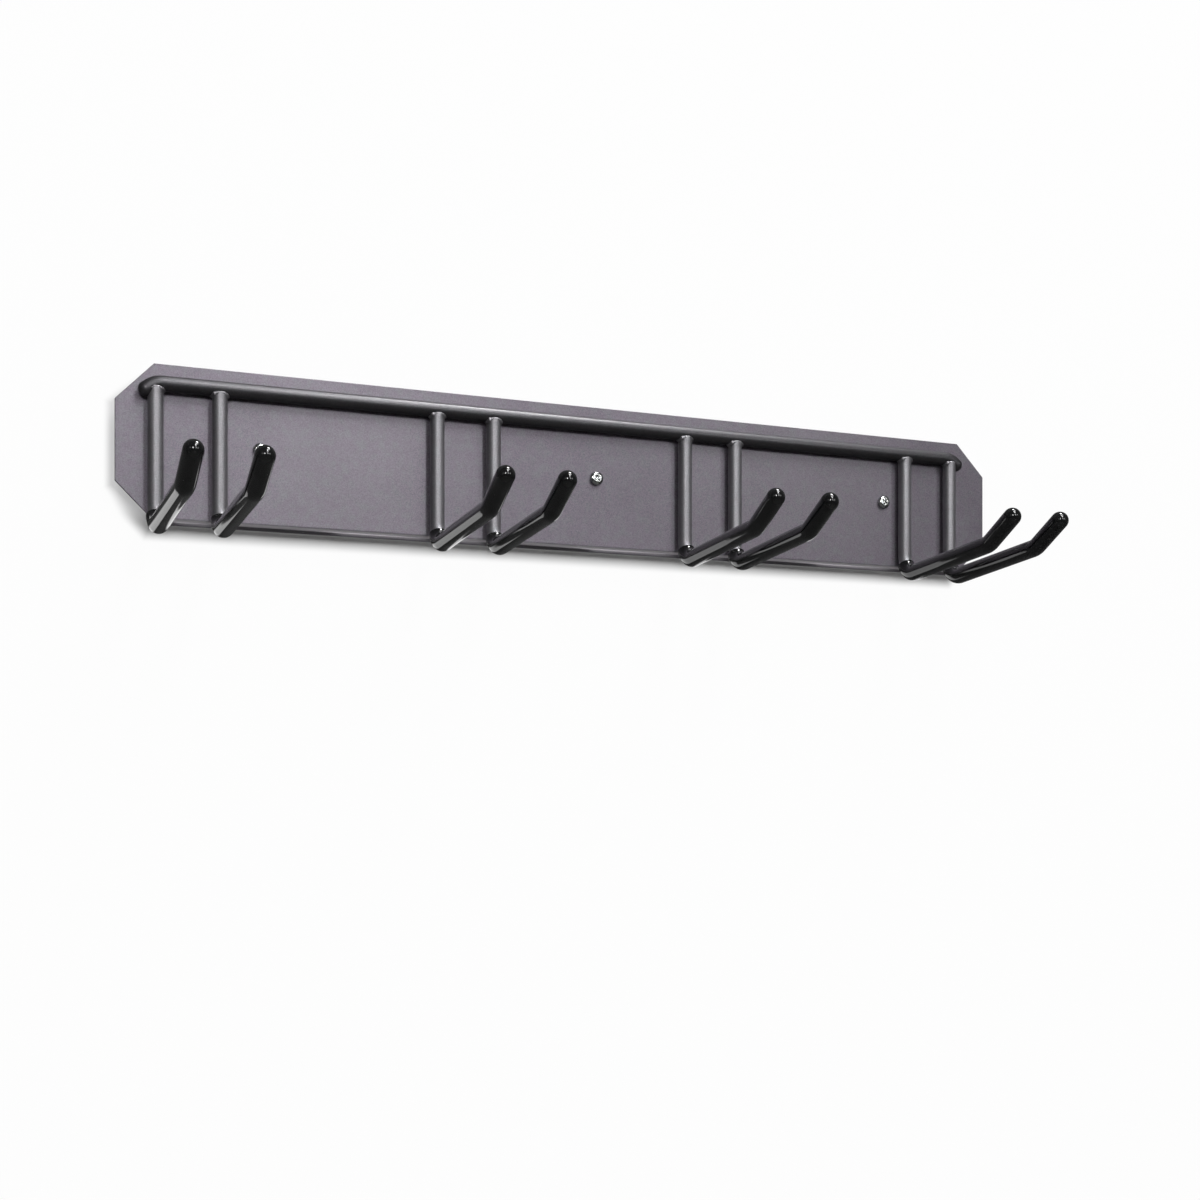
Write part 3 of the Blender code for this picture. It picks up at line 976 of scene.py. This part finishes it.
def make_screw(index, thread):
    """A turned body with its recess, and the thread round its shank as a piece of its own."""
    node = "wall_screw_%d" % (index + 1)
    low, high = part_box(node)
    seat = Vector((middle_x(node), low.y + HEAD_HEIGHT, (low.z + high.z) / 2))
    recess_turn = FIRST_RECESS_TURN + RECESS_TURN_STEP * index
    stand = Matrix.Translation(seat) @ Matrix.Rotation(math.radians(90), 4, "X")
    stand = stand @ Matrix.Rotation(recess_turn, 4, "Z")
    outline, length = screw_outline()
    carrier, axis = turned_carrier(outline, stand)
    blades = cross_cutter(stand @ Matrix.Translation((0, 0, HEAD_HEIGHT)))
    for blade in blades:
        carve(carrier, blade)
    round_edges(carrier, RECESS_EDGE_ROUND, segments=2, degrees=40)
    piece = frozen(node + "_body", carrier)
    for extra in blades + [axis]:
        bpy.data.objects.remove(extra)
    finish = zinc_plate("zinc_" + node, seat, 80.0 + index)
    merge_and_smooth(piece.data, degrees=35)
    dress(piece, finish)
    finished(piece, "zinc_plate", node)

    ridge = thread.make(node + "_thread", Core_Radius=SHANK_RADIUS, Crest_Radius=THREAD_RADIUS,
                        Pitch=THREAD_PITCH, Length=length - PLAIN_SHANK - BARE_POINT, Material=finish)
    ridge.data.transform(stand @ Matrix.Translation((0, 0, BARE_POINT - length)))
    finished(ridge, "zinc_plate")


def mirrored_patches(across, level):
    """Where the wall shows white in the sleeves' gloss: slanted patches beside the foot of each arm."""
    slanted = across - (level - MIRRORED_HIGH) * MIRRORED_SLANT
    patches = 0.0
    for station in range(STATIONS):
        left, right = (middle_x("arm_rod_%d_%s" % (station + 1, side)) for side in SIDES)
        for start, end in ((left - MIRRORED_REACH, left), (left + MIRRORED_GAP, right)):
            inside = across.between(start - MIRRORED_SOFT, start + MIRRORED_SOFT)
            beyond = slanted.between(end - MIRRORED_SOFT, end + MIRRORED_SOFT)
            patches = inside * (1.0 - beyond) + patches
    above = level.between(MIRRORED_HIGH - MIRRORED_SOFT, MIRRORED_HIGH + MIRRORED_SOFT)
    low = level.between(MIRRORED_LOW - MIRRORED_SOFT, MIRRORED_LOW + MIRRORED_SOFT)
    return patches.clamped() * low * (1.0 - above)


def wall_shadow(across, level):
    """How dark the rail's shadow on the wall is, and how far a point lies outside the rail's outline."""
    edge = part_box("back_rail")[1]
    top, bottom = edge.z, -edge.z
    beside = (across.size() - edge.x).most(0.0)
    above = (level.size() - edge.z).most(0.0)
    corner = (across.size() - edge.x + level.size() - edge.z + CORNER_CUT) * math.sqrt(0.5)
    away = (beside * beside + above * above).math("SQRT").most(corner)
    raised = level.between(bottom, bottom + CORNER_CUT)
    near = SHADOW_NEAR + raised * (SIDE_SHADOW_NEAR - SHADOW_NEAR)
    far = SHADOW_FAR + raised * (SIDE_SHADOW_FAR - SHADOW_FAR)
    weaker = level.between(bottom - SHADOW_LAP_BELOW, bottom + SHADOW_LAP_ABOVE) * (1.0 - SIDE_SHADOW)
    gone = level.between(top - CORNER_CUT, top) * SIDE_SHADOW
    return (1.0 - away.between(near, far)) * (1.0 - weaker - gone), away


def kinds_of_ray(board):
    """1 for what the camera sees, straight or through clear things, and 1 for what gloss reflects."""
    rays = board.add("ShaderNodeLightPath")
    return rays.output("Is Camera Ray") + rays.output("Is Transmission Ray"), rays.output("Is Glossy Ray")


def dimmed_paint(board, reflected, tone):
    """Matt paint that looks darker in reflections."""
    shown = board.blend(reflected * MIRRORED_DIM, tone, BLACK)
    return board.add("ShaderNodeBsdfDiffuse", None, {"Color": shown})


def wall_material():
    """Paint and plain white, mixed by who looks. The camera sees white, but for the rail's shadow.
    Gloss sees dimmed paint, with the white patches. What the rail covers lights the rail's inside.
    From behind, the wall is clear."""
    material, board = new_material("white_wall")
    seen, reflected = kinds_of_ray(board)
    place = board.add("ShaderNodeTexCoord").output("Object")
    axes = board.add("ShaderNodeSeparateXYZ", None, {"Vector": place})
    across, level = axes.output("X"), axes.output("Z")
    shadow, away = wall_shadow(across, level)
    covered = (1.0 - away.between(0.0, OUTLINE_SOFT)) * (1.0 - seen)
    glow = (1.0 - shadow) * seen * WALL_GLOW + reflected * mirrored_patches(across, level)
    glow = (glow + covered * BEHIND_GLOW).clamped()

    paint = dimmed_paint(board, reflected, WALL_PAINT)
    strength = 1.0 + reflected * (MIRRORED_GLOW - 1.0)
    white = board.add("ShaderNodeEmission", None, {"Color": WHITE, "Strength": strength})
    front = board.add("ShaderNodeMixShader", None, {0: glow, 1: paint, 2: white})
    clear = board.add("ShaderNodeBsdfTransparent")
    behind = board.add("ShaderNodeNewGeometry").output("Backfacing")
    mixed = board.add("ShaderNodeMixShader", None, {0: behind, 1: front, 2: clear})
    board.add("ShaderNodeOutputMaterial", None, {"Surface": mixed})
    return material


def floor_material():
    """Pale paint that the camera sees half white, and gloss sees dimmed."""
    material, board = new_material("pale_floor")
    seen, reflected = kinds_of_ray(board)
    paint = dimmed_paint(board, reflected, FLOOR_PAINT)
    white = board.add("ShaderNodeEmission", None, {"Color": WHITE, "Strength": 1.0})
    mixed = board.add("ShaderNodeMixShader", None, {0: seen * FLOOR_GLOW, 1: paint, 2: white})
    board.add("ShaderNodeOutputMaterial", None, {"Surface": mixed})
    return material


def plane(name, corners, material):
    """A single face of one material."""
    mesh = bpy.data.meshes.new(name)
    mesh.from_pydata(corners, [], [(0, 1, 2, 3)])
    mesh.materials.append(material)
    return placed(name, mesh)


def make_room():
    """A white wall that the rack hangs on, and a pale floor under it."""
    side = ROOM_HALF_WIDTH
    wall = plane("room_wall", ((-side, 0, FLOOR_Z), (side, 0, FLOOR_Z), (side, 0, ROOM_HEIGHT),
                               (-side, 0, ROOM_HEIGHT)), wall_material())
    floor = plane("room_floor", ((-side, -side, FLOOR_Z), (side, -side, FLOOR_Z), (side, side, FLOOR_Z),
                                 (-side, side, FLOOR_Z)), floor_material())


def toward(azimuth, elevation, distance):
    """A place as seen from the rack: azimuth to the right of straight out, elevation up."""
    azimuth, elevation = math.radians(azimuth), math.radians(elevation)
    level = math.cos(elevation) * distance
    return Vector((math.sin(azimuth) * level, -math.cos(azimuth) * level, math.sin(elevation) * distance))


def make_lamp(name, place, strength):
    """A square lamp that faces the rack. Its strength is its brightness as it is seen."""
    lamp = bpy.data.lights.new(name, "AREA")
    lamp.shape = "SQUARE"
    lamp.size = LAMP_SIDE
    lamp.energy = strength * LAMP_SIDE * LAMP_SIDE * math.pi
    box = placed(name, lamp)
    box.location = place
    box.rotation_euler = (-place).to_track_quat("-Z", "Y").to_euler()
    box.visible_camera = False


def make_sky():
    """A dark room in front and a grey one behind the wall, for reflections. The camera sees it pale."""
    world = bpy.data.worlds.new("studio")
    bpy.context.scene.world = world
    world.use_nodes = True
    board = Board(world.node_tree)
    direction = board.add("ShaderNodeTexCoord").output("Generated")
    axes = board.add("ShaderNodeSeparateXYZ", None, {"Vector": direction})
    sky = board.blend(axes.output("Y").between(*ROOM_TO_BACK), ROOM_GREY, BACK_GREY)
    seen = kinds_of_ray(board)[0]
    sky = board.blend(seen, sky, SEEN_GREY)
    shown = board.add("ShaderNodeBackground", None, {"Color": sky, "Strength": 1.0})
    board.add("ShaderNodeOutputWorld", None, {"Surface": shown})


def make_camera():
    """The photograph's camera: level, with the frame shifted so that the horizon lies low in it."""
    data = bpy.data.cameras.new("photo_camera")
    data.sensor_fit = "HORIZONTAL"
    data.sensor_width = SENSOR
    data.lens = FOCAL_PIXELS / PHOTO_SIDE * SENSOR
    data.shift_y = (HORIZON_PIXEL - PHOTO_SIDE / 2) / PHOTO_SIDE
    data.clip_start = NEAREST_SEEN
    camera = placed("photo_camera", data)
    camera.location = CAMERA_PLACE
    camera.rotation_euler = (math.radians(90), 0, CAMERA_TURN)
    bpy.context.scene.camera = camera


def main():
    bpy.context.scene.view_settings.view_transform = "Standard"
    make_rail()
    make_bar()
    tube = tube_form()
    shoulder = shoulder_form()
    seam = seam_form()
    thread = thread_form()
    for number, label in enumerate(arm_labels()):
        make_rod(tube, label, number)
        make_sleeve(tube, label, number)
        make_welds(shoulder, seam, label, number)
    for index in range(SCREWS):
        make_screw(index, thread)
    make_room()
    for name, azimuth, elevation, distance, strength in LAMPS:
        make_lamp(name, toward(azimuth, elevation, distance), strength)
    make_sky()
    make_camera()


main()
